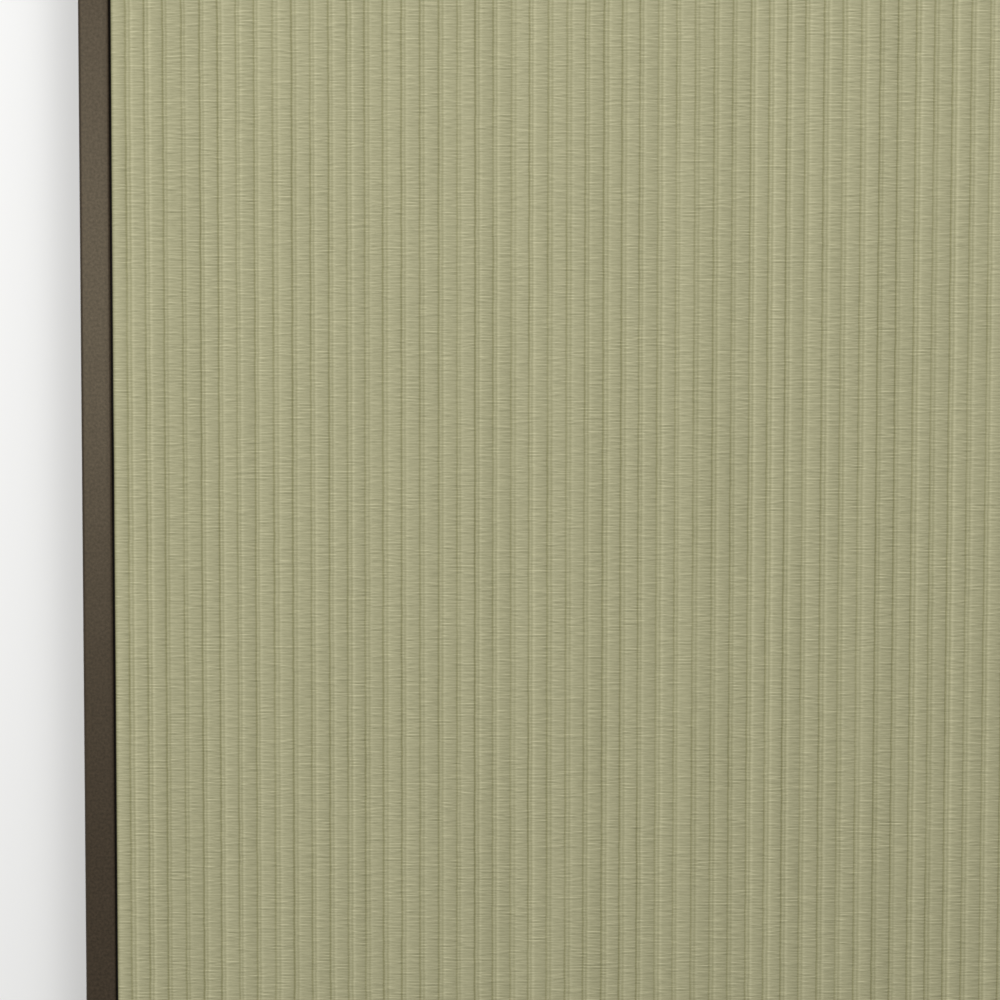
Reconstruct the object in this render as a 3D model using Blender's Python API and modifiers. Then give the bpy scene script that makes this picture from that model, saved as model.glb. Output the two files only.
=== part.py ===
"""Tatami mat: a thick, flat, filled mat with a ribbed woven face and a cloth border along each long edge.

Metres, +Z up. The origin is on the floor under the middle of the mat. X runs across the mat, from border
to border, and Y runs along it. The woven ribs and the borders run along Y. The face turns down over both
short ends, and each border turns down over its long side and round to the ends.
"""

import math

import bmesh
import bpy

# Driving dimensions of the mat
MAT_WIDTH = 0.880
MAT_LENGTH = 1.760
MAT_HEIGHT = 0.055

# The woven face: one rib is a broad band and a narrow band with a groove on each side
RIB_COUNT = 55
RIB_PITCH = 0.01515
FACE_EDGE_RADIUS = 0.004
FOOT_CHAMFER = 0.0015

# The border cloth
BORDER_TOP_WIDTH = 0.0252
BORDER_THICKNESS = 0.0012
BORDER_PROUD = 0.0006
BORDER_EDGE_RADIUS = 0.003
PIECE_GAP = 0.0003

# The sewn seam draws the face down beside the border: how far the slope runs, its floor and its depth
SEAM_SLOPE_WIDTH = 0.0030
SEAM_FLOOR_WIDTH = 0.0020
SEAM_DEPTH = 0.0012

# One rib from left to right: share of its pitch, then how far it lies below the highest level of the face
RIB_PROFILE = (
    ("groove", 0.00, 0.0010),
    ("narrow band", 0.12, 0.0003),
    ("shallow groove", 0.22, 0.0006),
    ("broad band, left shoulder", 0.36, 0.0000),
    ("broad band, right shoulder", 0.88, 0.0001),
)

# A loom beats some ribs wider than others, in two waves: share of the width, turn a rib and start
RIB_WAVES = (
    ("slow", 0.022, 0.83, 0.4),
    ("quick", 0.013, 2.17, 1.1),
)

# Facets of a quarter circle on the mat's edges and on the border's, and the least angle of a hard edge
EDGE_STEPS = 3
BORDER_EDGE_STEPS = 4
HARD_EDGE_DEG = 40
MERGE_DISTANCE = 1e-6

# Surface colours and roughness
FACE_FINISH = ("woven_face", (0.40, 0.385, 0.235), 0.72)
BORDER_FINISH = ("border_cloth", (0.085, 0.066, 0.048), 0.62)

# Sizes worked out from the driving dimensions
RIBBED_WIDTH = RIB_COUNT * RIB_PITCH
BORDER_INNER_X = MAT_WIDTH / 2 - BORDER_TOP_WIDTH
FACE_HALF_WIDTH = BORDER_INNER_X - SEAM_SLOPE_WIDTH
SKIN = BORDER_THICKNESS + PIECE_GAP
BODY_HALF_WIDTH = MAT_WIDTH / 2 - SKIN
BODY_EDGE_RADIUS = BORDER_EDGE_RADIUS - SKIN


def finish_material(name, colour, roughness):
    """A plain matt cloth material."""
    material = bpy.data.materials.new(name)
    material.use_nodes = True
    shader = material.node_tree.nodes["Principled BSDF"]
    shader.inputs["Base Color"].default_value = (*colour, 1.0)
    shader.inputs["Roughness"].default_value = roughness
    shader.inputs["Metallic"].default_value = 0.0
    return material


def rib_width_share(rib):
    """A rib's width over the pitch: 1 + the sum of share * sin(turn * rib + start) over the waves."""
    return 1 + sum(share * math.sin(turn * rib + start) for _, share, turn, start in RIB_WAVES)


def rib_edges():
    """X of every main groove, from the left edge of the ribbed width to the right one."""
    shares = [rib_width_share(rib) for rib in range(RIB_COUNT)]
    scale = RIBBED_WIDTH / sum(shares)
    edges = [-RIBBED_WIDTH / 2]
    for share in shares:
        edges.append(edges[-1] + share * scale)
    return edges


def rib_stations():
    """The face between the two seams: x and the drop below the face's level, rib by rib."""
    edges = rib_edges()
    stations = []
    for left, right in zip(edges, edges[1:]):
        for _, share, drop in RIB_PROFILE:
            stations.append((left + share * (right - left), drop))
    return [(x, drop) for x, drop in stations if abs(x) < FACE_HALF_WIDTH]


def rounded_side_stations(side):
    """The body's long edge under a border, as a quarter circle: x, inset and the end's edge radius there."""
    stations = []
    for step in range(EDGE_STEPS + 1):
        angle = math.radians(90) * step / EDGE_STEPS
        x = BODY_HALF_WIDTH - BODY_EDGE_RADIUS * (1 - math.sin(angle))
        inset = SKIN + BODY_EDGE_RADIUS * (1 - math.cos(angle))
        stations.append((side * x, inset, BODY_EDGE_RADIUS * math.cos(angle)))
    return stations


def body_stations():
    """Every section of the body from left to right: x, inset from the mat's box and edge radius."""
    seam_inset = SKIN + SEAM_DEPTH
    floor_reach = SEAM_FLOOR_WIDTH / 2
    right_half = [
        (FACE_HALF_WIDTH, BORDER_PROUD, FACE_EDGE_RADIUS),
        (BORDER_INNER_X - floor_reach, seam_inset, FACE_EDGE_RADIUS),
        (BORDER_INNER_X + floor_reach, seam_inset, FACE_EDGE_RADIUS),
        (BORDER_INNER_X + SEAM_SLOPE_WIDTH, SKIN, BODY_EDGE_RADIUS),
        *rounded_side_stations(1),
    ]
    left_half = [(-x, inset, radius) for x, inset, radius in reversed(right_half)]
    face = [(x, BORDER_PROUD + drop, FACE_EDGE_RADIUS) for x, drop in rib_stations()]
    return left_half + face + right_half


def section_outline(inset, radius):
    """The mat's long section as (y, z) points: a bar with round top corners and a chamfered foot."""
    end_y = MAT_LENGTH / 2 - inset
    top_z = MAT_HEIGHT - inset
    quarter = [math.radians(90) * step / EDGE_STEPS for step in range(EDGE_STEPS + 1)]
    far_top = [
        (end_y - radius * (1 - math.cos(angle)), top_z - radius * (1 - math.sin(angle)))
        for angle in quarter
    ]
    far_end = [(end_y - FOOT_CHAMFER, 0.0), (end_y, FOOT_CHAMFER), *far_top]
    near_end = [(-y, z) for y, z in reversed(far_end)]
    return far_end + near_end


def loft(mesh_name, sections):
    """A closed body through a row of sections, each an x and an outline with the same number of points."""
    shape = bmesh.new()
    rings = [[shape.verts.new((x, y, z)) for y, z in outline] for x, outline in sections]
    count = len(rings[0])
    for ring, following in zip(rings, rings[1:]):
        for point in range(count):
            after = (point + 1) % count
            shape.faces.new((ring[point], following[point], following[after], ring[after]))
    shape.faces.new(rings[0])
    shape.faces.new(reversed(rings[-1]))
    bmesh.ops.remove_doubles(shape, verts=shape.verts, dist=MERGE_DISTANCE)
    bmesh.ops.recalc_face_normals(shape, faces=shape.faces)
    mesh = bpy.data.meshes.new(mesh_name)
    shape.to_mesh(mesh)
    shape.free()
    return mesh


def shade(mesh):
    """Smooth shading that keeps the hard edges hard."""
    mesh.shade_smooth()
    mesh.set_sharp_from_angle(angle=math.radians(HARD_EDGE_DEG))


def make_woven_mat(collection):
    """The filled mat in its ribbed woven face, as one solid: ribs over the top and down both short ends."""
    sections = [(x, section_outline(inset, radius)) for x, inset, radius in body_stations()]
    mesh = loft("woven_mat", sections)
    mesh.materials.append(finish_material(*FACE_FINISH))
    shade(mesh)
    woven_mat = bpy.data.objects.new("woven_mat", mesh)
    collection.objects.link(woven_mat)
    return woven_mat


def plain_box(name, low, high, collection):
    """A box between two corners."""
    centre = [(a + b) / 2 for a, b in zip(low, high)]
    size = [b - a for a, b in zip(low, high)]
    shape = bmesh.new()
    bmesh.ops.create_cube(shape, size=1.0)
    bmesh.ops.scale(shape, vec=size, verts=shape.verts)
    bmesh.ops.translate(shape, vec=centre, verts=shape.verts)
    mesh = bpy.data.meshes.new(name)
    shape.to_mesh(mesh)
    shape.free()
    box = bpy.data.objects.new(name, mesh)
    collection.objects.link(box)
    return box


def rounded_block(name, inset, radius, collection):
    """A block inset from the mat's box, with rounded top and corner edges, that runs down past the floor."""
    half_width = MAT_WIDTH / 2 - inset
    half_length = MAT_LENGTH / 2 - inset
    low = (-half_width, -half_length, -MAT_HEIGHT)
    high = (half_width, half_length, MAT_HEIGHT - inset)
    block = plain_box(name, low, high, collection)
    rounding = block.modifiers.new("rounded edges", "BEVEL")
    rounding.width = radius
    rounding.segments = BORDER_EDGE_STEPS
    rounding.limit_method = "NONE"
    return block


def hide_tool(tool):
    """A shape that only cuts stays out of sight."""
    tool.hide_render = True
    tool.display_type = "WIRE"


def cut(piece, tool, operation):
    """Adds an exact Boolean to the piece."""
    change = piece.modifiers.new(f"{operation.lower()} {tool.name}", "BOOLEAN")
    change.operation = operation
    change.solver = "EXACT"
    change.object = tool


def make_border(name, side, material, inside, collection, tools):
    """One border: the skin of the mat's rounded box, kept only along one long edge and down its ends."""
    border = rounded_block(name, 0.0, BORDER_EDGE_RADIUS, collection)
    near, far = sorted((side * BORDER_INNER_X, side * MAT_WIDTH))
    zone = plain_box(f"{name}_zone", (near, -MAT_LENGTH, 0.0), (far, MAT_LENGTH, 2 * MAT_HEIGHT), tools)
    hide_tool(zone)
    cut(border, inside, "DIFFERENCE")
    cut(border, zone, "INTERSECT")
    border.data.materials.append(material)
    shade(border.data)
    return border


def build():
    """Clears the scene and makes the mat and its two borders."""
    for old in list(bpy.data.objects):
        bpy.data.objects.remove(old)
    mat_parts = bpy.data.collections.new("tatami_mat")
    tools = bpy.data.collections.new("cutters")
    tools.hide_render = True
    bpy.context.scene.collection.children.link(mat_parts)
    bpy.context.scene.collection.children.link(tools)

    make_woven_mat(mat_parts)
    inside_radius = BORDER_EDGE_RADIUS - BORDER_THICKNESS
    inside = rounded_block("inside_of_borders", BORDER_THICKNESS, inside_radius, tools)
    hide_tool(inside)
    border_material = finish_material(*BORDER_FINISH)
    make_border("border_left", -1, border_material, inside, mat_parts, tools)
    make_border("border_right", 1, border_material, inside, mat_parts, tools)


build()
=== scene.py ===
# %% [markdown]
# # A tatami mat
#
# A tatami mat is a stiff slab wrapped in a ribbed rush cloth, with a strip of plain cloth sewn along each
# long edge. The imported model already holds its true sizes, so this script only adds what the eye sees up
# close: the single strands of the weave, the sewn seam, the border's cloth, and the light. Everything is
# in metres, with X across the mat, Y along it and Z up.

import math

import bmesh
import bpy
import numpy as np
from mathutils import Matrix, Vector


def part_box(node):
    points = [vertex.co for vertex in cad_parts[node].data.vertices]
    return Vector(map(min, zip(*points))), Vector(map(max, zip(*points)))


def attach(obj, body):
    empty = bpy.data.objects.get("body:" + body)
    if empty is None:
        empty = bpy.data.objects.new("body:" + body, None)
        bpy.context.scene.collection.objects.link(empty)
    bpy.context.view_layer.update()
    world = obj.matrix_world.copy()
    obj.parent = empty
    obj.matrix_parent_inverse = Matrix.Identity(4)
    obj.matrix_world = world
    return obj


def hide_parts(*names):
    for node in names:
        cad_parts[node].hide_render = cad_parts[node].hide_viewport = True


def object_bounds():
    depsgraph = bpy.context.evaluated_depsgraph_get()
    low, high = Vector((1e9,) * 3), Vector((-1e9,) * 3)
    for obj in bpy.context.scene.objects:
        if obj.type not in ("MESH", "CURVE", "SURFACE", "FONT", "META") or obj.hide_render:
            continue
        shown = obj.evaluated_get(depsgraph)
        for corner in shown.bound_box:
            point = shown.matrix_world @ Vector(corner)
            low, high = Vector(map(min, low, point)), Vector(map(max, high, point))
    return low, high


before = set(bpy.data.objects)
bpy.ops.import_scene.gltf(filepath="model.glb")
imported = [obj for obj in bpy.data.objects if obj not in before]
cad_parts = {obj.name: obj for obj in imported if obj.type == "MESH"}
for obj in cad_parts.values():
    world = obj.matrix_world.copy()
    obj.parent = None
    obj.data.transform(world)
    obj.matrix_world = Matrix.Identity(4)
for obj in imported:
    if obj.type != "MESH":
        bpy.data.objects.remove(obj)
cad_low, cad_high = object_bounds()
mat_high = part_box("woven_mat")[1]
edge_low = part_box("border_right")[0]
print("mat", [round(high - low, 4) for low, high in zip(cad_low, cad_high)])

# %% [markdown]
# ## The camera
#
# The photograph looks almost straight down on the left part of the mat. Lines that are parallel on the
# mat come together by about two per cent towards the bottom of the picture, so the camera leans a little:
# its top side is nearer to the mat. One number sets how much of the mat fits across the picture, and the
# lens gives the height.

# %% Camera
VIEW_WIDTH = 0.831
LENS_MM = 50.0
SENSOR_MM = 36.0
LEAN_DEG = 1.87
ROLL_DEG = 0.07
LEFT_MARGIN = 0.0677
FACE_LEVEL = mat_high[2]


def add_camera():
    """A camera over the face, leaning so that the picture's top is nearer, with the left border in view."""
    middle_x = cad_low[0] - LEFT_MARGIN + VIEW_WIDTH / 2
    height = VIEW_WIDTH * LENS_MM / SENSOR_MM
    lean = math.radians(LEAN_DEG)
    lens = bpy.data.cameras.new("camera")
    lens.lens = LENS_MM
    lens.sensor_width = SENSOR_MM
    camera = bpy.data.objects.new("camera", lens)
    camera.location = (middle_x, height * math.sin(lean), FACE_LEVEL + height * math.cos(lean))
    camera.rotation_euler = (-lean, 0.0, math.radians(ROLL_DEG))
    bpy.context.scene.collection.objects.link(camera)
    bpy.context.scene.camera = camera
    return camera


camera = add_camera()
print("camera", [round(value, 3) for value in camera.location])

# %% [markdown]
# ## The light and the floor
#
# A wide soft lamp at the upper left draws the ribs and lies where the top of the border mirrors it, which
# gives the brown cloth its sheen there and lets it darken towards the bottom. A second lamp, further off
# at the upper right, evens out the face from left to right. A pale floor and an even white sky fill the
# rest. A picture of a room could light it too, but lamps can be moved one by one until they match.

# %% Light and floor
KEY_PLACE = (-1.25, 0.53, 2.60)
KEY_AIM = (-0.15, 0.0, 0.05)
KEY_SIZE = 1.3
KEY_WATTS = 40.5
FILL_PLACE = (1.30, 2.40, 2.20)
FILL_SIZE = 1.4
FILL_WATTS = 53.0
SKY_STRENGTH = 0.41
FLOOR_SIZE = 24.0
FLOOR_DROP = 0.0003
FLOOR_COLOUR = (0.82, 0.82, 0.81)
FLOOR_ROUGHNESS = 0.9


def aim(thing, target):
    """Turns a lamp so that its beam, which leaves along its own -Z, points at the target."""
    direction = np.subtract(target, thing.location)
    flat = math.hypot(direction[0], direction[1])
    thing.rotation_euler = (math.atan2(flat, -direction[2]), 0.0, math.atan2(-direction[0], direction[1]))


def add_lamp(name, place, target, size, watts):
    """A square soft lamp."""
    light = bpy.data.lights.new(name, "AREA")
    light.shape = "SQUARE"
    light.size = size
    light.energy = watts
    lamp = bpy.data.objects.new(name, light)
    lamp.location = place
    aim(lamp, target)
    bpy.context.scene.collection.objects.link(lamp)
    return lamp


def add_sky(strength):
    """An even white sky."""
    world = bpy.data.worlds.new("sky")
    world.use_nodes = True
    sky = world.node_tree.nodes["Background"]
    sky.inputs["Color"].default_value = (1.0, 1.0, 1.0, 1.0)
    sky.inputs["Strength"].default_value = strength
    bpy.context.scene.world = world


def add_floor():
    """A plain pale floor, a hair below the mat's foot so that the two don't lie in one plane."""
    half = FLOOR_SIZE / 2
    mesh = bpy.data.meshes.new("floor")
    corners = [(-half, -half), (half, -half), (half, half), (-half, half)]
    mesh.from_pydata([(x, y, -FLOOR_DROP) for x, y in corners], [], [(0, 1, 2, 3)])
    material = bpy.data.materials.new("floor")
    material.use_nodes = True
    shader = material.node_tree.nodes["Principled BSDF"]
    shader.inputs["Base Color"].default_value = (*FLOOR_COLOUR, 1.0)
    shader.inputs["Roughness"].default_value = FLOOR_ROUGHNESS
    mesh.materials.append(material)
    floor = bpy.data.objects.new("floor", mesh)
    bpy.context.scene.collection.objects.link(floor)


bpy.context.scene.view_settings.view_transform = "Standard"
key_lamp = add_lamp("key_lamp", KEY_PLACE, KEY_AIM, KEY_SIZE, KEY_WATTS)
fill_lamp = add_lamp("fill_lamp", FILL_PLACE, KEY_AIM, FILL_SIZE, FILL_WATTS)
add_sky(SKY_STRENGTH)
add_floor()
print("lamps", round(key_lamp.data.energy), round(fill_lamp.data.energy), "W, sky", SKY_STRENGTH)

# %% [markdown]
# ## Surfaces as grids
#
# Every new piece is a grid of points worked out by numpy: one array for x, one for y and one for z, with
# a row and a column for each step of the surface. One helper turns such a grid into a mesh, with its
# faces turned outwards, values stored at its points for the materials to read, and maps. The map "weave"
# counts ribs and strands, and the map "OFBake" lays the sheet out flat for an export that needs a picture
# of it. The cloth could also be modelled by hand or with modifiers, but a formula is exact and quick to
# change, and whole arrays build a million points in seconds.

# %% Grid helper
BAKE_MAP = "OFBake"
MAP_MARGIN = 0.004


def grid_faces(rows, columns):
    """The four corners of every face between neighbouring rows and columns, counted row by row."""
    corner = np.arange(rows - 1)[:, None] * columns + np.arange(columns - 1)[None, :]
    return np.stack([corner, corner + 1, corner + columns + 1, corner + columns], axis=-1).reshape(-1, 4)


def add_map(mesh, name, flat_points):
    """A UV map, from one (u, v) for each corner of each face."""
    layer = mesh.uv_layers.new(name=name)
    layer.data.foreach_set("uv", flat_points.astype(np.float32).ravel())


def flat_layout(rows, columns, across, along, lanes):
    """Where each face corner goes on a flat unit square, with the sheet cut into lanes laid side by side.

    u = (lane + across) / lanes and v = (along - lane's start) / lane's length, each inside a small margin.
    """
    lane_rows = math.ceil((rows - 1) / lanes)
    face_row = np.repeat(np.arange(rows - 1), columns - 1)
    lane = face_row // lane_rows
    corner_row = face_row[:, None] + np.array([0, 0, 1, 1])
    corner_column = np.tile(np.arange(columns - 1), rows - 1)[:, None] + np.array([0, 1, 1, 0])
    first = along[np.minimum(lane * lane_rows, rows - 1)][:, None]
    last = along[np.minimum((lane + 1) * lane_rows, rows - 1)][:, None]
    share_along = (along[corner_row] - first) / (last - first)
    share_across = (across[corner_column] - across[0]) / (across[-1] - across[0])
    u = (lane[:, None] + MAP_MARGIN + share_across * (1 - 2 * MAP_MARGIN)) / lanes
    v = MAP_MARGIN + share_along * (1 - 2 * MAP_MARGIN)
    return np.stack([u, v], axis=-1)


def add_surface(name, points, material, maps=None, layout=None, marks=None):
    """A piece from an array of points, rows by columns by xyz, with maps and values at its points."""
    rows, columns = points.shape[:2]
    faces = grid_faces(rows, columns)
    mesh = bpy.data.meshes.new(name)
    mesh.vertices.add(rows * columns)
    mesh.vertices.foreach_set("co", points.astype(np.float32).ravel())
    mesh.loops.add(faces.size)
    mesh.loops.foreach_set("vertex_index", faces.astype(np.int32).ravel())
    mesh.polygons.add(len(faces))
    mesh.polygons.foreach_set("loop_start", np.arange(0, faces.size, 4, dtype=np.int32))
    mesh.update(calc_edges=True)
    for label, places in (maps or {}).items():
        add_map(mesh, label, places[faces])
    if layout is not None:
        add_map(mesh, BAKE_MAP, layout)
    for label, values in (marks or {}).items():
        mark = mesh.attributes.new(label, "FLOAT", "POINT")
        mark.data.foreach_set("value", values.astype(np.float32).ravel())
    mesh.shade_smooth()
    mesh.materials.append(material)
    piece = bpy.data.objects.new(name, mesh)
    bpy.context.scene.collection.objects.link(piece)
    return piece


print("a grid of 3 by 4 points has", len(grid_faces(3, 4)), "faces")

# %% [markdown]
# Nothing woven is quite even. A smooth random field serves for every slow unevenness here: random values
# stand at the knots of a coarse grid, and a point between them takes an eased blend of its four
# neighbours. The blend is two small matrices, one for the rows and one for the columns, so that a whole
# sheet is worked out at once. A noise texture could do the same for a colour only, and here the shape and
# the colour have to follow one field.


# %% Unevenness helper
def blend_weights(places, step):
    """Shares of the two knots around each place: at a fraction f of the way, the next gets 3ff - 2fff."""
    scaled = (places - places.min()) / step
    before = np.floor(scaled).astype(int)
    part = scaled - before
    eased = part * part * (3 - 2 * part)
    weights = np.zeros((len(places), before.max() + 2))
    row = np.arange(len(places))
    weights[row, before] = 1 - eased
    weights[row, before + 1] = eased
    return weights


def unevenness(rng, row_places, column_places, row_step, column_step):
    """A smooth random field from -1 to 1 over rows and columns, with knots the two steps apart."""
    down = blend_weights(row_places, row_step)
    across = blend_weights(column_places, column_step)
    knots = rng.uniform(-1, 1, (down.shape[1], across.shape[1]))
    return down @ knots @ across.T


print("shares a quarter of the way", blend_weights(np.array([0.0, 0.25]), 1.0)[1])

# %% [markdown]
# ## Node groups
#
# An effect could be drawn again in every material, but then each copy has to be kept in step by hand. Here
# each is a node group that is built once and placed in a material with that material's own values.
# The mottle, a soft light-and-dark unevenness of a chosen size, serves all three finishes. The fibres,
# fine lines that run along a strand, serve the woven face and the backing under the mat. The cloth
# threads, a plain over-and-under weave, serve the borders. A group only puts out values. The shader stays
# in the material.


# %% Node helpers
NOISE_ROUGHNESS = 0.55


def node_group(name, inputs, outputs):
    """An empty group with its sockets: inputs are (name, kind, default), outputs are names of values."""
    tree = bpy.data.node_groups.new(name, "ShaderNodeTree")
    for label, kind, default in inputs:
        socket = tree.interface.new_socket(name=label, in_out="INPUT", socket_type=kind)
        if default is not None:
            socket.default_value = default
    for label in outputs:
        tree.interface.new_socket(name=label, in_out="OUTPUT", socket_type="NodeSocketFloat")
    start = tree.nodes.new("NodeGroupInput")
    end = tree.nodes.new("NodeGroupOutput")
    return tree, start.outputs, end.inputs


def feed(tree, socket, value):
    """Joins a socket to another one, or sets it to a number."""
    if isinstance(value, bpy.types.NodeSocket):
        tree.links.new(value, socket)
    else:
        socket.default_value = value


def maths(tree, operation, *values):
    """One Math node, and its result."""
    node = tree.nodes.new("ShaderNodeMath")
    node.operation = operation
    for socket, value in zip(node.inputs, values):
        feed(tree, socket, value)
    return node.outputs["Value"]


def remap(tree, value, low, high, new_low, new_high):
    """Carries a range of values to another one, clamped."""
    node = tree.nodes.new("ShaderNodeMapRange")
    numbers = (value, low, high, new_low, new_high)
    for socket, number in zip(node.inputs, numbers):
        feed(tree, socket, number)
    return node.outputs["Result"]


def noise(tree, vector, scale, detail):
    """A noise texture's value, about 0.5 on average."""
    node = tree.nodes.new("ShaderNodeTexNoise")
    feed(tree, node.inputs["Vector"], vector)
    feed(tree, node.inputs["Scale"], scale)
    node.inputs["Detail"].default_value = detail
    node.inputs["Roughness"].default_value = NOISE_ROUGHNESS
    return node.outputs["Fac"]


def mixed_colour(tree, share, first, second, blend="MIX"):
    """A Mix node for two colours."""
    node = tree.nodes.new("ShaderNodeMix")
    node.data_type = "RGBA"
    node.blend_type = blend
    feed(tree, node.inputs["Factor"], share)
    for label, value in (("A", first), ("B", second)):
        socket = next(entry for entry in node.inputs if entry.name == label and entry.type == "RGBA")
        feed(tree, socket, value)
    return next(entry for entry in node.outputs if entry.type == "RGBA")


# %% Mottle group
MOTTLE_DETAIL = 3.0


def build_mottle():
    """Multiplier = 1 + Amount * (noise - 0.5), where the noise's patches are Size metres across."""
    tree, given, out = node_group(
        "Mottle",
        [
            ("Place", "NodeSocketVector", None),
            ("Size", "NodeSocketFloat", 0.01),
            ("Amount", "NodeSocketFloat", 0.1),
        ],
        ["Multiplier"],
    )
    scale = maths(tree, "DIVIDE", 1.0, given["Size"])
    patches = noise(tree, given["Place"], scale, MOTTLE_DETAIL)
    centred = maths(tree, "SUBTRACT", patches, 0.5)
    tree.links.new(maths(tree, "MULTIPLY_ADD", centred, given["Amount"], 1.0), out["Multiplier"])
    return tree


mottle_group = build_mottle()
print("group", mottle_group.name, "with", len(mottle_group.nodes), "nodes")

# %% Fibre group
FIBRE_DETAIL = 2.0


def build_fibres():
    """Lines that run along x: noise on the place times Lengthwise along x and Crosswise across it."""
    tree, given, out = node_group(
        "Fibres",
        [
            ("Place", "NodeSocketVector", None),
            ("Lengthwise", "NodeSocketFloat", 40.0),
            ("Crosswise", "NodeSocketFloat", 1000.0),
        ],
        ["Lines"],
    )
    parts = tree.nodes.new("ShaderNodeSeparateXYZ")
    tree.links.new(given["Place"], parts.inputs["Vector"])
    joined = tree.nodes.new("ShaderNodeCombineXYZ")
    tree.links.new(maths(tree, "MULTIPLY", parts.outputs["X"], given["Lengthwise"]), joined.inputs["X"])
    tree.links.new(maths(tree, "MULTIPLY", parts.outputs["Y"], given["Crosswise"]), joined.inputs["Y"])
    tree.links.new(noise(tree, joined.outputs["Vector"], 1.0, FIBRE_DETAIL), out["Lines"])
    return tree


fibre_group = build_fibres()
print("group", fibre_group.name, "with", len(fibre_group.nodes), "nodes")


# %% Cloth thread group
def build_cloth_threads():
    """A plain weave: Height = 0.5 + 0.5 cos(pi a) cos(pi b), with a and b the place over the Pitch."""
    tree, given, out = node_group(
        "Cloth threads",
        [("Place", "NodeSocketVector", None), ("Pitch", "NodeSocketFloat", 0.0005)],
        ["Height"],
    )
    parts = tree.nodes.new("ShaderNodeSeparateXYZ")
    tree.links.new(given["Place"], parts.inputs["Vector"])
    turn = maths(tree, "DIVIDE", math.pi, given["Pitch"])
    waves = [
        maths(tree, "COSINE", maths(tree, "MULTIPLY", parts.outputs[axis], turn))
        for axis in ("X", "Y")
    ]
    crossing = maths(tree, "MULTIPLY", *waves)
    tree.links.new(maths(tree, "MULTIPLY_ADD", crossing, 0.5, 0.5), out["Height"])
    return tree


thread_group = build_cloth_threads()
print("group", thread_group.name, "with", len(thread_group.nodes), "nodes")

# %% [markdown]
# ## The finish of the woven face
#
# Each strand is a slim, slightly waxy stalk. No two have quite the same tone, each is rounded, fine
# fibres run along it, and its colour turns a deeper olive down in the grooves: partly the binding thread
# that shows there, partly painted shade where less light reaches. Three things come with the mesh. The map
# "weave" counts ribs and strands, so that half-way between two whole numbers lies the gap between two
# strands, where the colour gets a painted shade. The map "tones" holds the tones of the strand below and
# of the one above, and the material changes over from one to the other in the gap. The value "hollow" is 1
# in a groove and 2 in the sewn seam, whose near-black colour is painted shade. A picture of rush could be
# laid over the mat instead, but it would repeat, and blur close up.


# %% Material helpers
def group_node(tree, group, **values):
    """Places a group in a material, and sets or joins its inputs, named as in the group."""
    node = tree.nodes.new("ShaderNodeGroup")
    node.node_tree = group
    for label, value in values.items():
        feed(tree, node.inputs[label], value)
    return node


def mark_value(tree, name):
    """A value that the mesh holds at its points."""
    node = tree.nodes.new("ShaderNodeAttribute")
    node.attribute_name = name
    return node.outputs["Fac"]


def map_place(tree, name):
    """A map of the mesh by its name."""
    node = tree.nodes.new("ShaderNodeUVMap")
    node.uv_map = name
    return node.outputs["UV"]


def parts_of(tree, vector):
    """The x and y of a vector."""
    node = tree.nodes.new("ShaderNodeSeparateXYZ")
    tree.links.new(vector, node.inputs["Vector"])
    return node.outputs["X"], node.outputs["Y"]


def scaled_colour(tree, colour, scale):
    """A colour made lighter or darker by a factor."""
    node = tree.nodes.new("ShaderNodeVectorMath")
    node.operation = "SCALE"
    feed(tree, node.inputs[0], colour)
    feed(tree, node.inputs["Scale"], scale)
    return node.outputs["Vector"]


def bump(tree, height, distance):
    """A bump that stands distance metres tall where the height goes from 0 to 1."""
    node = tree.nodes.new("ShaderNodeBump")
    node.inputs["Strength"].default_value = 1.0
    node.inputs["Distance"].default_value = distance
    feed(tree, node.inputs["Height"], height)
    return node.outputs["Normal"]


# %% Woven face material
STRAW = (0.522, 0.499, 0.315, 1.0)
OLIVE = (0.232, 0.225, 0.124, 1.0)
# the grooves' deeper olive: partly the binding thread's colour, partly painted shade
GROOVE_COLOUR_AND_SHADE = (0.75, 0.75, 0.655, 1.0)
# painted shade in the gaps between strands
GAP_PAINTED_SHADE = (0.80, 0.80, 0.75, 1.0)
# a painted near-black shade for the seam gap under the border's fold
SEAM_PAINTED_SHADE = (0.010, 0.008, 0.006, 1.0)
WHITE = (1.0, 1.0, 1.0, 1.0)
GAP_SHARE = 0.07
GAP_SHADE_REACH = 0.16
STRAND_ROUNDING = 0.00022

# the fibres: how many noise patches run along a rib and across a strand, the range of the noise that is
# used, and how far it moves the tone and the height
FIBRE_ALONG = 1.6
FIBRE_ACROSS = 2.3
LINE_RANGE = (0.3, 0.7)
FIBRE_TONE = 0.19
FIBRE_HEIGHT = 0.25

PATCH_SIZE = 0.09
PATCH_AMOUNT = 0.05
FACE_ROUGHNESS = (0.58, 0.72)
FACE_GLOSS = 0.16


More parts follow.
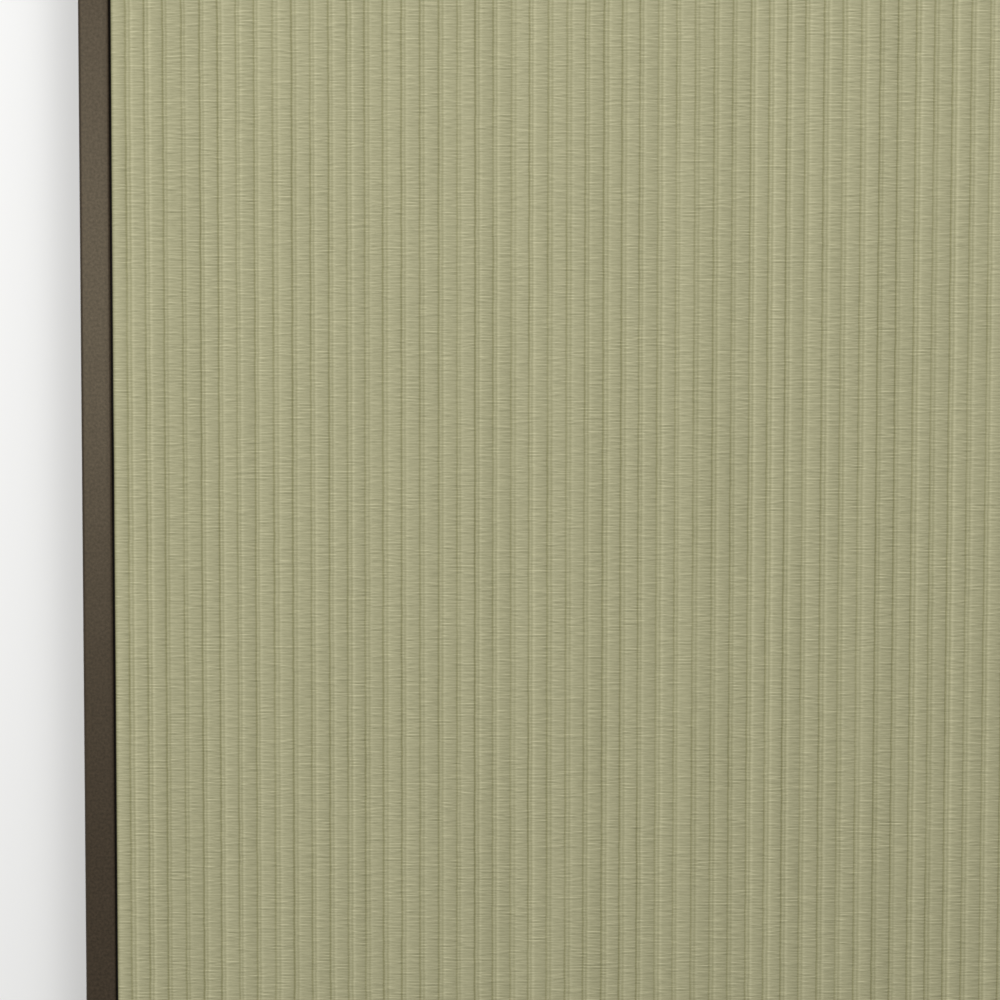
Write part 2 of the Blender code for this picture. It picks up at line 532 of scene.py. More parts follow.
def make_woven_face_material():
    """Straw-green strands, with painted shade in the gaps and grooves and a painted near-black seam."""
    material = bpy.data.materials.new("woven_face_rush")
    material.use_nodes = True
    tree = material.node_tree
    shader = tree.nodes["Principled BSDF"]
    place = map_place(tree, "weave")
    rib_count, strand_count = parts_of(tree, place)
    lower_tone, upper_tone = parts_of(tree, map_place(tree, "tones"))

    past_centre = maths(tree, "FRACT", strand_count)
    is_upper = remap(tree, past_centre, 0.5 - GAP_SHARE / 2, 0.5 + GAP_SHARE / 2, 0.0, 1.0)
    tone_step = maths(tree, "SUBTRACT", upper_tone, lower_tone)
    strand_tone = maths(tree, "MULTIPLY_ADD", tone_step, is_upper, lower_tone)
    from_gap = maths(tree, "ABSOLUTE", maths(tree, "SUBTRACT", past_centre, 0.5))
    rounding = maths(tree, "SQRT", maths(tree, "MULTIPLY", from_gap, 2.0))
    gap = remap(tree, from_gap, 0.0, GAP_SHADE_REACH, 1.0, 0.0)

    fibres = group_node(tree, fibre_group, Place=place, Lengthwise=FIBRE_ALONG, Crosswise=FIBRE_ACROSS)
    lines = fibres.outputs["Lines"]
    tone = maths(tree, "ADD", strand_tone, remap(tree, lines, *LINE_RANGE, -FIBRE_TONE, FIBRE_TONE))
    strand_colour = mixed_colour(tree, tone, OLIVE, STRAW)
    spot = tree.nodes.new("ShaderNodeTexCoord").outputs["Object"]
    patches = group_node(tree, mottle_group, Place=spot, Size=PATCH_SIZE, Amount=PATCH_AMOUNT)
    patchy = scaled_colour(tree, strand_colour, patches.outputs["Multiplier"])

    hollow = mark_value(tree, "hollow")
    # painted shade, with the thread's colour, in the grooves, and painted shade in the gaps between strands
    groove_colour_and_shade = mixed_colour(tree, remap(tree, hollow, 0.0, 1.0, 0.0, 1.0), WHITE, GROOVE_COLOUR_AND_SHADE)
    gap_painted_shade = mixed_colour(tree, gap, WHITE, GAP_PAINTED_SHADE)
    groove_and_gap_shade = mixed_colour(tree, 1.0, groove_colour_and_shade, gap_painted_shade, "MULTIPLY")
    woven_colour = mixed_colour(tree, 1.0, patchy, groove_and_gap_shade, "MULTIPLY")
    # in the seam the colour turns to the painted near-black shade
    colour = mixed_colour(tree, remap(tree, hollow, 1.0, 2.0, 0.0, 1.0), woven_colour, SEAM_PAINTED_SHADE)
    tree.links.new(colour, shader.inputs["Base Color"])

    tree.links.new(remap(tree, lines, *LINE_RANGE, *FACE_ROUGHNESS), shader.inputs["Roughness"])
    height = maths(tree, "MULTIPLY_ADD", lines, FIBRE_HEIGHT, rounding)
    tree.links.new(bump(tree, height, STRAND_ROUNDING), shader.inputs["Normal"])
    shader.inputs["Specular IOR Level"].default_value = FACE_GLOSS
    return material


woven_face_material = make_woven_face_material()
print("material", woven_face_material.name)

# %% [markdown]
# ## Where the ribs run
#
# Two warp threads lie close together at each rib, and pull the strands down: the first makes the main
# groove, the second a faint one beside it. Between them stands a narrow band. From the second thread to
# the next rib the strands float over a broad band, and stand highest where they come up, at its shoulder,
# which gets a painted highlight. The table below gives one rib, column by column. A strand that goes over
# the first thread goes under the second, and its neighbour does the opposite, so neighbours stand high and
# low in turn, and change over in the middle of the broad band. That is the column "alternate". The column
# "lift" says how freely a strand can stand proud there, "hollow" how much of the groove's deeper colour and
# painted shade it gets, and "light" how much painted light its tone gets, which is painted shade where it
# is below zero. No two ribs are quite alike, so each has its own depth and tone, and its second groove lies
# a little to one side or the other. The ribs could be a bump in the material, but their grooves are a
# millimetre deep and have to catch real shadows, so they are in the mesh.

# %% Rib columns
RIB_COUNT = 55
RIB_PITCH = 0.01515
RIB_WAVES = (
    ("slow", 0.022, 0.83, 0.4),
    ("quick", 0.013, 2.17, 1.1),
)
SEAM_SLOPE_WIDTH = 0.0030
BORDER_INNER_X = edge_low[0]
FACE_HALF_WIDTH = BORDER_INNER_X - SEAM_SLOPE_WIDTH

# name, share of the pitch, drop in metres, alternate, lift, hollow (groove colour and painted shade), light
# (painted light and shade), and how much of the rib's move to one side it shares
RIB_COLUMNS = (
    ("main groove", 0.00, 0.00100, 0.10, 0.30, 1.00, 0.00, 0.0),
    ("narrow band", 0.11, 0.00018, 0.00, 0.55, 0.00, 0.07, 0.4),
    ("second groove", 0.20, 0.00054, -0.40, 0.45, 0.50, 0.00, 1.0),
    ("shoulder", 0.31, 0.00000, -0.80, 0.85, 0.00, 0.19, 1.0),
    ("broad band", 0.44, 0.00006, 0.00, 1.00, 0.00, 0.02, 1.0),
    ("far shoulder", 0.91, 0.00012, 0.70, 0.85, 0.00, -0.06, 0.0),
)

# where these numbers stand in a row once the name and the share of the pitch are left out
DROP, HOLLOW, PAINTED_LIGHT_AND_TONE = 0, 3, 4

# how unlike each other the ribs are in depth, in how much painted light the shoulder gets, in tone and to one
# side
RIB_SEED = 5
RIB_DEPTH_SPREAD = 0.16
RIB_PAINTED_LIGHT_SPREAD = 0.50
RIB_TONE_SPREAD = 0.035
RIB_SIDE_SPREAD = 0.036

# distance inside the border's inner edge in metres, then drop, alternate, lift, hollow (2 is the painted seam
# shade) and light (painted light)
SEAM_COLUMNS = (
    ("top of the slope", 0.0048, 0.00003, 0.00, 0.80, 0.00, 0.14),
    ("half-way down", 0.0031, 0.00028, 0.00, 0.50, 0.25, 0.04),
    ("edge of the gap", 0.0021, 0.00090, 0.00, 0.10, 1.00, 0.00),
    ("foot of the slope", 0.0014, 0.00200, 0.00, 0.00, 2.00, 0.00),
    ("under the border", -0.0010, 0.00250, 0.00, 0.00, 2.00, 0.00),
)

# the least room between the last column of a rib and the first one of the seam
SEAM_ROOM = 0.0008


def rib_edges():
    """X of every main groove: a rib's width is 1 + the sum of share * sin(turn * rib + start), to scale."""
    ribs = np.arange(RIB_COUNT)
    widths = 1 + sum(share * np.sin(turn * ribs + start) for _, share, turn, start in RIB_WAVES)
    full_width = RIB_COUNT * RIB_PITCH
    return np.concatenate([[0.0], np.cumsum(widths)]) * full_width / widths.sum() - full_width / 2


def face_columns():
    """Every column of the face from left to right: x, rib count, and the five numbers of the tables."""
    rng = np.random.default_rng(RIB_SEED)
    edges = rib_edges()
    numbers = np.array([row[1:] for row in RIB_COLUMNS])
    moved = rng.uniform(-1, 1, (RIB_COUNT, 1)) * RIB_SIDE_SPREAD * numbers[:, -1]
    share = numbers[None, :, 0] + moved
    x = edges[:-1, None] + share * np.diff(edges)[:, None]
    count = np.arange(RIB_COUNT)[:, None] + share
    rest = np.repeat(numbers[None, :, 1:-1], RIB_COUNT, axis=0)
    depth = 1 + RIB_DEPTH_SPREAD * rng.uniform(-1, 1, (RIB_COUNT, len(numbers)))
    rest[..., DROP] *= depth
    rest[..., HOLLOW] *= depth
    rest[..., PAINTED_LIGHT_AND_TONE] *= 1 + RIB_PAINTED_LIGHT_SPREAD * rng.uniform(-1, 1, (RIB_COUNT, 1))
    rest[..., PAINTED_LIGHT_AND_TONE] += RIB_TONE_SPREAD * rng.uniform(-1, 1, (RIB_COUNT, 1))
    ribs = np.concatenate([x[..., None], count[..., None], rest], axis=-1).reshape(-1, 7)

    seam = np.array([row[1:] for row in SEAM_COLUMNS])
    ribs = ribs[np.abs(ribs[:, 0]) < BORDER_INNER_X - seam[0, 0] - SEAM_ROOM]
    right_x = BORDER_INNER_X - seam[:, 0]
    right_count = np.interp(right_x, edges, np.arange(RIB_COUNT + 1))
    right = np.column_stack([right_x, right_count, seam[:, 1:]])
    left_count = np.interp(-right_x, edges, np.arange(RIB_COUNT + 1))
    left = np.column_stack([-right_x, left_count, seam[:, 1:]])[::-1]
    return np.concatenate([left, ribs, right])


columns = face_columns()
print("columns", len(columns), "from", round(columns[0, 0], 4), "to", round(columns[-1, 0], 4))

# %% [markdown]
# ## The strands
#
# The cloth is laid over the mat from the floor at one end to the floor at the other: up the end, round
# its edge, along the top and down again. A strand's place is the length walked along that path, so the
# rows keep their spacing round the bends. Each strand could be a tube of its own, but that is many times
# the faces for what nobody sees. Here one row of points is the middle of one strand, and the material
# rounds it.

# %% Path over the mat
FACE_EDGE_RADIUS = 0.004
FACE_FOOT = 0.0008


def over_the_mat(walked, full_walk):
    """The path over the mat, and its outward normal, at each length walked from one foot.

    At m metres from the middle of the top, y = +-(flat half + R sin t) and z = top - R (1 - cos t) - b.
    Here t is the angle turned, at most a right angle, and b the way down the upright end.
    """
    half_length = mat_high[1]
    flat_half = half_length - FACE_EDGE_RADIUS
    middle = walked - full_walk / 2
    side = np.sign(middle)
    past = np.maximum(np.abs(middle) - flat_half, 0.0)
    turn = np.minimum(past / FACE_EDGE_RADIUS, math.pi / 2)
    below = np.maximum(past - FACE_EDGE_RADIUS * math.pi / 2, 0.0)
    y = side * (np.minimum(np.abs(middle), flat_half) + FACE_EDGE_RADIUS * np.sin(turn))
    z = FACE_LEVEL - FACE_EDGE_RADIUS * (1 - np.cos(turn)) - below
    return y, z, side * np.sin(turn), np.cos(turn)


def whole_walk():
    """The length of the path from foot to foot."""
    flat = 2 * (mat_high[1] - FACE_EDGE_RADIUS)
    bends = math.pi * FACE_EDGE_RADIUS
    uprights = 2 * (FACE_LEVEL - FACE_EDGE_RADIUS - FACE_FOOT)
    return flat + bends + uprights


print("path", round(whole_walk(), 4), "m from foot to foot")

# %% [markdown]
# A strand is livelier than its neighbours here and tamer there: where it stands proud its tone gets a
# painted highlight, and the strand below it a painted shadow. It also wanders a little, most of all where
# the threads leave it free, and the grooves themselves aren't quite straight or equally deep.

# %% Liveliness of the strands
# how much painted shade a strand takes from the tone of the strand above it and of the one below it
SHADE_FROM_ABOVE = 0.60
SHADE_FROM_BELOW = 0.20

# distance between knots along a strand, and share
LIVELY_SCALES = ((0.024, 0.35), (0.010, 0.80), (0.0042, 0.60))


def lively(rng, rows, x):
    """How each strand varies along itself: smooth random fields of several scales, each strand alone."""
    number = np.arange(rows, dtype=float)
    return sum(share * unevenness(rng, number, x, 1.0, knots) for knots, share in LIVELY_SCALES)


def set_off(values):
    """Each strand's value less a share of the value of the strand above it and of the one below it."""
    above = np.concatenate([values[1:], values[-1:]])
    below = np.concatenate([values[:1], values[:-1]])
    return values - SHADE_FROM_ABOVE * above - SHADE_FROM_BELOW * below


print("a strand that stands alone sets its neighbours off by", set_off(np.array([0.0, 1.0, 0.0])))

# %% Strands
STRAND_PITCH = 0.00130
SPACING_SPREAD = 0.06
ALTERNATE_HEIGHT = 0.00014
LIVELY_LIFT = 0.00010
PROUD_LIFT = 0.00016
PROUD_FROM = 0.55
PROUD_RANGE = 0.25
MIDDLE_TONE = 0.5
STREAKS = 0.107
PROUD_HIGHLIGHT_AND_SHADE = 0.12
HELD_STREAKS = 0.4
FOOT_HOLD = 0.004
SEAM_HOLD = 0.010
STRAND_SEED = 11
LANES = 4

# size, then the distance between knots along the walk, and between knots across the mat in metres
SLOW_WANDER = (0.00040, 0.012, 0.013)
QUICK_WANDER = (0.00018, 0.0027, 0.009)

# size, distance between knots along the walk, and between knots across the mat in ribs
SIDE_WANDER = (0.00022, 0.009, 1.0)
DEPTH_SPREAD = (0.20, 0.060, 1.0)


def sized_unevenness(rng, row_places, column_places, numbers):
    """The smooth random field times a size. The numbers are that size and the two steps between knots."""
    size, row_step, column_step = numbers
    return size * unevenness(rng, row_places, column_places, row_step, column_step)


def weave_strands():
    """All points of the face, rows by columns, with the strand's tone and the groove's depth at each."""
    rng = np.random.default_rng(STRAND_SEED)
    full_walk = whole_walk()
    strand_count = LANES * round(full_walk / STRAND_PITCH / LANES)
    rows = strand_count + 1
    x, rib_count, drop, alternate, lift_share, hollow, light = columns.T

    spacing = 1 + SPACING_SPREAD * rng.uniform(-1, 1, strand_count)
    walked = np.concatenate([[0.0], np.cumsum(spacing)]) * full_walk / spacing.sum()
    free_of_foot = np.minimum(1.0, np.minimum(walked, full_walk - walked) / FOOT_HOLD)[:, None]
    free_of_seam = np.clip((FACE_HALF_WIDTH - np.abs(x)) / SEAM_HOLD, 0, 1)
    wander = sized_unevenness(rng, walked, x, SLOW_WANDER)
    wander += sized_unevenness(rng, walked, x, QUICK_WANDER)
    aside = free_of_seam * sized_unevenness(rng, walked, rib_count, SIDE_WANDER)
    depth = 1 + sized_unevenness(rng, walked, rib_count, DEPTH_SPREAD)

    life = lively(rng, rows, x)
    proud = np.clip((life - PROUD_FROM) / PROUD_RANGE, 0, 1)
    in_turn = np.where(np.arange(rows) % 2 == 0, 1.0, -1.0)[:, None]
    height = -drop * depth + ALTERNATE_HEIGHT * alternate * in_turn
    height += lift_share * (LIVELY_LIFT * life + PROUD_LIFT * proud)
    # the strands' own random tone, with a painted highlight on proud strands and painted shade on the strands
    # beside them
    streaks = STREAKS * set_off(life) + PROUD_HIGHLIGHT_AND_SHADE * set_off(proud)
    streak_share = HELD_STREAKS + (1 - HELD_STREAKS) * lift_share
    # light adds each rib's own tone and the painted light and shade of the rib's slopes
    tone = np.clip(MIDDLE_TONE + light + streak_share * streaks, 0, 1)

    y, z, normal_y, normal_z = over_the_mat(walked[:, None] + free_of_foot * wander, full_walk)
    points = np.empty((rows, len(x), 3))
    points[..., 0] = x + aside
    points[..., 1] = y + normal_y * height
    points[..., 2] = np.maximum(z + normal_z * height, FACE_FOOT / 2)
    weave = np.empty((rows, len(x), 2))
    weave[..., 0] = rib_count
    weave[..., 1] = np.arange(rows)[:, None]
    return points, weave, walked, tone, np.where(hollow > 1, hollow, hollow * depth)


points, weave, walked, tone, hollow = weave_strands()
print("strands", points.shape[0], "over", round(walked[-1], 3), "m, tone", round(float(tone.std()), 3))

# %% [markdown]
# A sheet with every strand in it is close to a million triangles, which is more than one mesh should
# hold. The face is therefore made in five strips of eleven ribs, which share their points in a main
# groove, so no join shows. The main grooves are creased, as the strands really bend there over a thin
# tight thread.

# %% Woven face
STRIPS = 5

# the least room between a cut and the seam
CUT_ROOM = 0.002


def strand_pairs(tone):
    """For each corner of each face: the tone of the strand at its lower edge and at its upper edge."""
    left, right = tone[:, :-1], tone[:, 1:]
    corners = np.stack([left, right, right, left], axis=-1)
    return np.stack([corners[:-1], corners[1:]], axis=-1).reshape(-1, 2)


def crease_columns(piece, column_count, creased):
    """Marks the edges that run along the given columns as sharp."""
    mesh = piece.data
    ends = np.empty(len(mesh.edges) * 2, dtype=np.int32)
    mesh.edges.foreach_get("vertices", ends)
    ends = ends.reshape(-1, 2)
    column = ends % column_count
    along = (column[:, 0] == column[:, 1]) & np.isin(column[:, 0], creased)
    sharp = mesh.attributes.new("sharp_edge", "BOOLEAN", "EDGE")
    sharp.data.foreach_set("value", along)


def strip_bounds(rib_count, x):
    """The first and last column of each strip, cut in the main groove nearest to its share of the ribs."""
    main_grooves = np.flatnonzero(np.isclose(rib_count % 1, 0) & (np.abs(x) < FACE_HALF_WIDTH - CUT_ROOM))
    wanted = RIB_COUNT * np.arange(1, STRIPS) / STRIPS
    nearest = np.abs(rib_count[main_grooves][None, :] - wanted[:, None]).argmin(axis=1)
    cuts = main_grooves[nearest]
    return [0, *cuts], [*cuts, len(x) - 1], main_grooves


def add_woven_face():
    """The strips of the face, from left to right."""
    x, rib_count = columns[:, 0], columns[:, 1]
    starts, ends, main_grooves = strip_bounds(rib_count, x)
    strips = []
    for strip, (start, end) in enumerate(zip(starts, ends)):
        part = slice(start, end + 1)
        count = end + 1 - start
        piece = add_surface(
            f"woven_face_{strip + 1}",
            points[:, part],
            woven_face_material,
            maps={"weave": weave[:, part].reshape(-1, 2)},
            layout=flat_layout(len(walked), count, x[part], walked, LANES),
            marks={"hollow": hollow[:, part]},
        )
        add_map(piece.data, "tones", strand_pairs(tone[:, part]))
        crease_columns(piece, count, main_grooves - start)
        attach(piece, "root")
        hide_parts("woven_mat")
        strips.append(piece)
    return strips


woven_face = add_woven_face()
print("strips", [2 * len(piece.data.polygons) for piece in woven_face], "triangles")

# %% [markdown]
# ## The slab
#
# Under the cloth lies the stiff slab that makes the mat flat. Only its underside can be seen, and only
# when the mat is lifted: a plain, pale, slightly fibrous backing. It is one closed shape: each ring of
# points is a rectangle with round corners, and the rings shrink to a point on top and below. A cube with
# a Bevel modifier would look much the same, but rings go through the same grid helper as the cloth.

# %% Slab finish
BACKING = (0.47, 0.43, 0.34, 1.0)
BACKING_PATCH_SIZE = 0.05
BACKING_PATCH_AMOUNT = 0.22
BACKING_FIBRES = (90.0, 700.0)
BACKING_SHADE = (0.88, 1.08)
BACKING_ROUGHNESS = (0.78, 0.92)
BACKING_FIBRE_HEIGHT = 0.0002


def make_backing_material():
    """Pale pressed fibre."""
    material = bpy.data.materials.new("pale_backing")
    material.use_nodes = True
    tree = material.node_tree
    shader = tree.nodes["Principled BSDF"]
    place = tree.nodes.new("ShaderNodeTexCoord").outputs["Object"]
    patches = group_node(
        tree, mottle_group, Place=place, Size=BACKING_PATCH_SIZE, Amount=BACKING_PATCH_AMOUNT
    )
    along, across = BACKING_FIBRES
    fibres = group_node(tree, fibre_group, Place=place, Lengthwise=along, Crosswise=across)
    lines = fibres.outputs["Lines"]
    line_shade = remap(tree, lines, *LINE_RANGE, *BACKING_SHADE)
    shade = maths(tree, "MULTIPLY", patches.outputs["Multiplier"], line_shade)
    tree.links.new(scaled_colour(tree, BACKING[:3], shade), shader.inputs["Base Color"])
    tree.links.new(remap(tree, lines, *LINE_RANGE, *BACKING_ROUGHNESS), shader.inputs["Roughness"])
    tree.links.new(bump(tree, lines, BACKING_FIBRE_HEIGHT), shader.inputs["Normal"])
    return material


backing_material = make_backing_material()
print("material", backing_material.name)

# %% Slab
SLAB_CLEARANCE = 0.0030
SLAB_EDGE = 0.0015
RING_STEPS = 8
FILL_SHARES = (1.0, 0.985, 0.93, 0.75, 0.5, 0.25, 0.0)
MERGE_DISTANCE = 1e-6
HARD_EDGE_DEG = 35


def rounded_rectangle(half_width, half_length, radius):
    """Points once round a rectangle with round corners: each corner's centre plus R (cos a, sin a)."""
    angles = np.linspace(0, math.pi / 2, RING_STEPS + 1)
    quarters = []
    for quarter, (side_x, side_y) in enumerate(((1, 1), (-1, 1), (-1, -1), (1, -1))):
        turned = angles + quarter * math.pi / 2
        centre = np.array([side_x * (half_width - radius), side_y * (half_length - radius)])
        quarters.append(centre + radius * np.column_stack([np.cos(turned), np.sin(turned)]))
    ring = np.concatenate(quarters)
    return np.concatenate([ring, ring[:1]])


def slab_points():
    """Rings from the middle of the underside, out and up the wall, and in again over the top."""
    half_width = cad_high[0] - SLAB_CLEARANCE
    half_length = cad_high[1] - SLAB_CLEARANCE
    top = FACE_LEVEL - SLAB_CLEARANCE
    outer = rounded_rectangle(half_width, half_length, SLAB_EDGE)
    foot = rounded_rectangle(half_width - SLAB_EDGE, half_length - SLAB_EDGE, SLAB_EDGE)
    rings = [(foot * share, 0.0) for share in FILL_SHARES[::-1]]
    rings += [(outer, SLAB_EDGE), (outer, top - SLAB_EDGE)]
    rings += [(foot * share, top) for share in FILL_SHARES]
    return np.stack([np.column_stack([ring, np.full(len(ring), level)]) for ring, level in rings])


def close_shape(piece):
    """Merges the points that coincide, so that seams and poles are closed, and turns the faces outwards."""
    shape = bmesh.new()
    shape.from_mesh(piece.data)
    bmesh.ops.remove_doubles(shape, verts=shape.verts, dist=MERGE_DISTANCE)
    bmesh.ops.dissolve_degenerate(shape, edges=shape.edges, dist=MERGE_DISTANCE)
    bmesh.ops.recalc_face_normals(shape, faces=shape.faces)
    shape.to_mesh(piece.data)
    shape.free()


def add_slab():
    """The closed slab."""
    slab = add_surface("mat_slab", slab_points(), backing_material)
    close_shape(slab)
    slab.data.set_sharp_from_angle(angle=math.radians(HARD_EDGE_DEG))
    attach(slab, "root")
    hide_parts("woven_mat")
    return slab


slab = add_slab()
print("slab", len(slab.data.polygons), "faces")

# %% [markdown]
# ## The borders
#
# A border is one strip of dense brown cloth. It is sewn face down along the mat, folded back over its own
# seam, drawn over the edge and down the side, so its inner edge is a soft fold that dives into the seam
# and no stitch shows. Its shape is worked out as contours seen from above. Each contour starts at the
# seam on one short end, runs out to the corner, along the mat and back in at the other end. The first
# contours lie on top, the next ones go round the edge and the last ones go down to the floor. Blender
# could drape a loose strip over the mat, but this cloth is sewn tight, so a formula gives its shape.

# %% Border finish
BORDER_BROWN = (0.0345, 0.0240, 0.0158, 1.0)
BORDER_ROUGHNESS = (0.420, 0.390)
BORDER_GLOSS = 0.36
BORDER_GLOSS_TINT = (1.0, 0.86, 0.60, 1.0)
THREAD_PITCH = 0.0006
# the cloth's colour is painted darker in the hollows of the weave and lighter on the threads' crowns
THREAD_PAINTED_SHADE = (0.80, 1.10)
THREAD_HEIGHT = 0.00003
GRAIN_SIZE = 0.0023
GRAIN_AMOUNT = 1.90
GRAIN_RANGE = (0.8, 1.2)
GRAIN_HEIGHT = 0.25
BROAD_SIZE = 0.05
BROAD_AMOUNT = 0.14


def make_border_material():
    """Dense matt cloth with a soft, slightly brown sheen and a fine mottle."""
    material = bpy.data.materials.new("brown_border_cloth")
    material.use_nodes = True
    tree = material.node_tree
    shader = tree.nodes["Principled BSDF"]
    place = map_place(tree, "cloth")
    threads = group_node(tree, thread_group, Place=place, Pitch=THREAD_PITCH)
    grain = group_node(tree, mottle_group, Place=place, Size=GRAIN_SIZE, Amount=GRAIN_AMOUNT)
    broad = group_node(tree, mottle_group, Place=place, Size=BROAD_SIZE, Amount=BROAD_AMOUNT)
    grain_shade = grain.outputs["Multiplier"]
    thread_height = threads.outputs["Height"]
    shade = maths(tree, "MULTIPLY", grain_shade, broad.outputs["Multiplier"])
    # painted shade in the weave's hollows and painted light on the threads' crowns
    shade = maths(tree, "MULTIPLY", shade, remap(tree, thread_height, 0.0, 1.0, *THREAD_PAINTED_SHADE))
    tree.links.new(scaled_colour(tree, BORDER_BROWN[:3], shade), shader.inputs["Base Color"])
    roughness = remap(tree, grain_shade, *GRAIN_RANGE, *BORDER_ROUGHNESS)
    tree.links.new(roughness, shader.inputs["Roughness"])
    height = maths(tree, "MULTIPLY_ADD", grain_shade, GRAIN_HEIGHT, thread_height)
    tree.links.new(bump(tree, height, THREAD_HEIGHT), shader.inputs["Normal"])
    shader.inputs["Specular IOR Level"].default_value = BORDER_GLOSS
    shader.inputs["Specular Tint"].default_value = BORDER_GLOSS_TINT
    return material


border_material = make_border_material()
print("material", border_material.name)

# %% Border contours
BORDER_WIDTH = cad_high[0] - BORDER_INNER_X
BORDER_TOP = cad_high[2]
BORDER_EDGE_RADIUS = 0.003
FOOT_CURL = 0.0006
FOLD_RADIUS = 0.0014
FOLD_STEPS = (0.0, 0.02, 0.12, 0.35, 0.65, 1.0)
LONG_STEPS = 360
EDGE_STEPS = 5
CORNER_STEPS = 5
LEG_STEPS = 5
WALL_STEPS = 6
CURL_STEPS = 2


def border_levels():
    """Each contour's inset from the mat's outline, its height, and its normal's tilt above the horizon."""
    fold = BORDER_WIDTH - FOLD_RADIUS * np.array(FOLD_STEPS)
    flat = np.linspace(fold[-1], BORDER_EDGE_RADIUS, LEG_STEPS + 1)[1:]
    top_inset = np.concatenate([fold, flat])
    turn = np.linspace(0, math.pi / 2, EDGE_STEPS + 1)[1:]
    edge_inset = BORDER_EDGE_RADIUS * (1 - np.sin(turn))
    edge_height = BORDER_TOP - BORDER_EDGE_RADIUS * (1 - np.cos(turn))
    wall_height = np.linspace(edge_height[-1], FOOT_CURL, WALL_STEPS + 1)[1:]
    curl = np.linspace(0, math.pi / 2, CURL_STEPS + 1)[1:]
    inset = [top_inset, edge_inset, np.zeros(len(wall_height)), FOOT_CURL * (1 - np.cos(curl))]
    height = [
        np.full(len(top_inset), BORDER_TOP),
        edge_height,
        wall_height,
        FOOT_CURL * (1 - np.sin(curl)),
    ]
    tilt = [
        np.full(len(top_inset), math.pi / 2),
        math.pi / 2 - turn,
        np.zeros(len(wall_height)),
        -curl,
    ]
    return np.concatenate(inset), np.concatenate(height), np.concatenate(tilt)


def half_contour(inset):
    """From the middle of the long side to the seam on a short end: x, y and the direction outwards.

    Along the side x is fixed. Round the corner the point is centre + r (cos a, sin a). Along the end y is
    fixed.
    """
    outer_x = cad_high[0] - inset
    outer_y = cad_high[1] - inset
    radius = max(min(BORDER_EDGE_RADIUS - inset, outer_x - BORDER_INNER_X), 0.0)
    along = np.linspace(0, outer_y - radius, LONG_STEPS // 2 + 1)
    angle = np.linspace(0, math.pi / 2, CORNER_STEPS + 1)[1:-1]
    leg = max(outer_x - radius - BORDER_INNER_X, 0.0)
    fold = np.minimum(FOLD_RADIUS * np.array(FOLD_STEPS)[::-1], leg)
    flat = np.linspace(leg, fold[0], LEG_STEPS + 1)[:-1]
    from_seam = np.concatenate([flat, fold])
    corner_x = outer_x - radius * (1 - np.cos(angle))
    corner_y = outer_y - radius * (1 - np.sin(angle))
    x = np.concatenate([np.full(len(along), outer_x), corner_x, BORDER_INNER_X + from_seam])
    y = np.concatenate([along, corner_y, np.full(len(from_seam), outer_y)])
    out = np.concatenate([np.zeros(len(along)), angle, np.full(len(from_seam), math.pi / 2)])
    return x, y, out


print("contours", len(border_levels()[0]), "of", 2 * len(half_contour(0.0)[0]) - 1, "points")

# %% [markdown]
# At its inner edge the folded cloth dives into the seam. The stitches under the fold draw it in a little at
# even steps, and the cloth between them puckers in a few long waves. These are fractions of a millimetre,
# but they break up the sheen as on the real cloth. The left border is the right one mirrored, with waves of
# its own.

# %% Border cloth
FOLD_DEPTH = 0.0024
AT_SEAM = 1e-7
PUCKER = 0.00010
PUCKER_WAVES = (0.047, 0.083, 0.131)
CALM_WIDTH = 0.008
STITCH_PITCH = 0.011
STITCH_REACH = 0.006
STITCH_SHARE = 0.4
BORDER_LANES = 8
BORDER_SEED = 23


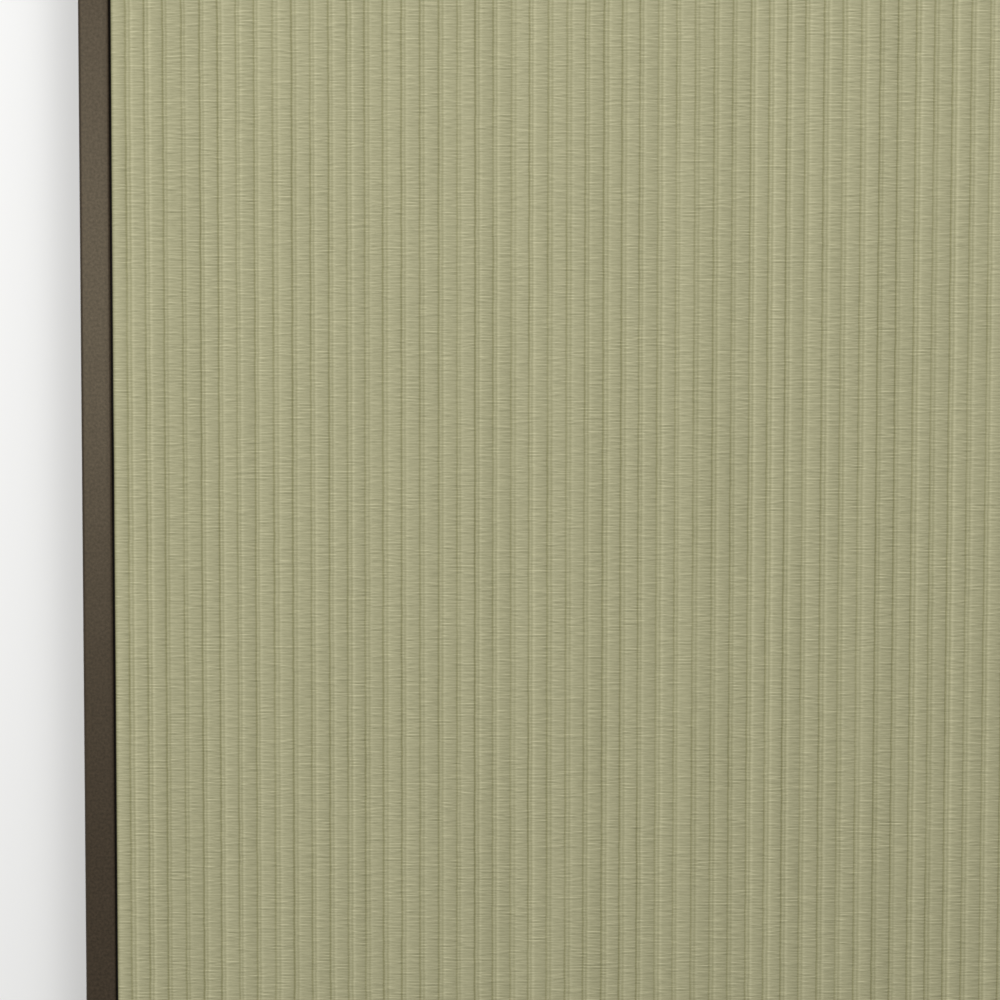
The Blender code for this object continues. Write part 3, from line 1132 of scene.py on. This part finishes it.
def border_points(rng):
    """The right border's points, with a column for each contour, pushed in where the fold dives.

    At a distance e from the seam, within the fold's radius r, the cloth lies r - sqrt(rr - (r - e)(r - e))
    lower. It puckers in a few waves along y, which die out within 11 mm of its outer edges.
    The map is the strip laid flat: a = x from the seam + the way down the side, b = y + the way down the end.
    """
    inset, height, tilt = border_levels()
    halves = [half_contour(value) for value in inset]
    x, y, out = (np.stack([half[part] for half in halves], axis=1) for part in range(3))
    x = np.concatenate([x[:0:-1], x])
    out = np.concatenate([-out[:0:-1], out])
    y = np.concatenate([-y[:0:-1], y])
    flat_part = np.cos(tilt)
    normal = np.stack([flat_part * np.cos(out), flat_part * np.sin(out), np.sin(tilt) + 0 * out], axis=-1)
    place = np.stack([x, y, height + 0 * x], axis=-1)

    from_seam = x - BORDER_INNER_X
    reach = np.clip(FOLD_RADIUS - from_seam, 0, FOLD_RADIUS)
    dive = FOLD_RADIUS - np.sqrt(FOLD_RADIUS**2 - reach**2)
    dive = np.where(from_seam < AT_SEAM, FOLD_DEPTH, dive)
    near_seam = np.exp(-((from_seam / STITCH_REACH) ** 2))
    stitches = near_seam * np.sin(2 * math.pi * y / STITCH_PITCH)
    starts = rng.uniform(0, 2 * math.pi, len(PUCKER_WAVES))
    waves = [np.sin(2 * math.pi * y / length + start) for length, start in zip(PUCKER_WAVES, starts)]
    from_edge = np.minimum(cad_high[0] - x, cad_high[1] - np.abs(y))
    calm = np.clip((from_edge - BORDER_EDGE_RADIUS) / CALM_WIDTH, 0, 1)
    pucker = PUCKER * calm * (STITCH_SHARE * stitches + np.mean(waves, axis=0) - 1)
    fall = BORDER_TOP - place[..., 2]
    flat_x = from_seam + fall * np.cos(out) ** 2
    flat_y = y + np.sign(y) * fall * np.sin(out) ** 2
    return place + normal * (pucker - dive)[..., None], np.stack([flat_x, flat_y], axis=-1)


def walked_along(points):
    """The length walked from the first point of a line of points to each of them."""
    steps = np.linalg.norm(np.diff(points, axis=0), axis=-1)
    return np.concatenate([[0.0], np.cumsum(steps)])


def add_border(name, side, node, seed):
    """One border with its maps, mirrored for the left side and its columns turned round to face outwards."""
    points, flat_place = border_points(np.random.default_rng(seed))
    across = walked_along(points[len(points) // 2])
    along = walked_along(points[:, -1])
    layout = flat_layout(len(along), len(across), across, along, BORDER_LANES)
    if side < 0:
        points = (points * np.array([-1, 1, 1]))[:, ::-1]
        flat_place = flat_place[:, ::-1]
    border = add_surface(name, points, border_material, {"cloth": flat_place.reshape(-1, 2)}, layout)
    close_shape(border)
    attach(border, "root")
    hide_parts(node)
    return border


borders = [
    add_border("border_cloth_left", -1, "border_left", BORDER_SEED),
    add_border("border_cloth_right", 1, "border_right", BORDER_SEED + 1),
]
print("borders", [len(piece.data.polygons) for piece in borders], "faces")
